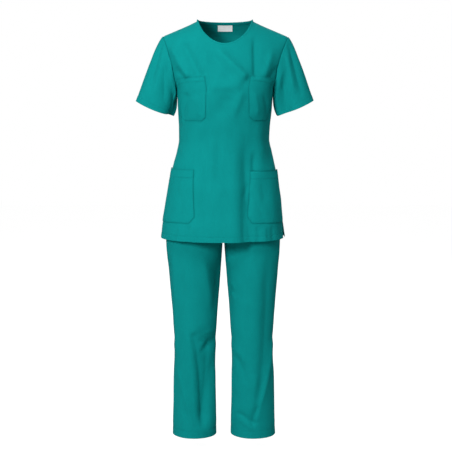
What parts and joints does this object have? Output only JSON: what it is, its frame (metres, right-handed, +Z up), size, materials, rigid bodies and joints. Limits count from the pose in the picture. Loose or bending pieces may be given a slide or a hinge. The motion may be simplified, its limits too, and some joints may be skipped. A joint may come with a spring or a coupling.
{
  "type": "medical scrubs set",
  "caption": "Plain medical scrubs set: short-sleeved round-neck tunic with breast and hip patch pockets over straight trousers, hollow worn form.",
  "frame": {"origin": "midway between the two neck side points of the neckline, at their height, where the shoulders carry the tunic", "axes": "+Z up, the front faces -Y, the wearer's left is at +X"},
  "size_m": [0.6, 0.2858, 1.4216],
  "materials": {
    "teal_cloth": "matt plain-weave poly-cotton with a faint sheen",
    "label_cloth": "smooth white woven label, bare"
  },
  "bodies": {
    "root": {"tunic_front": "teal_cloth", "tunic_back": "teal_cloth", "sleeve_left": "teal_cloth", "sleeve_right": "teal_cloth", "neck_binding": "teal_cloth", "back_neck_tape": "teal_cloth", "neck_label": "label_cloth", "chest_pocket_left": "teal_cloth", "chest_pocket_right": "teal_cloth", "hip_pocket_left": "teal_cloth", "hip_pocket_right": "teal_cloth", "trouser_front_left": "teal_cloth", "trouser_front_right": "teal_cloth", "trouser_back_left": "teal_cloth", "trouser_back_right": "teal_cloth", "waistband": "teal_cloth"}
  },
  "joints": []
}
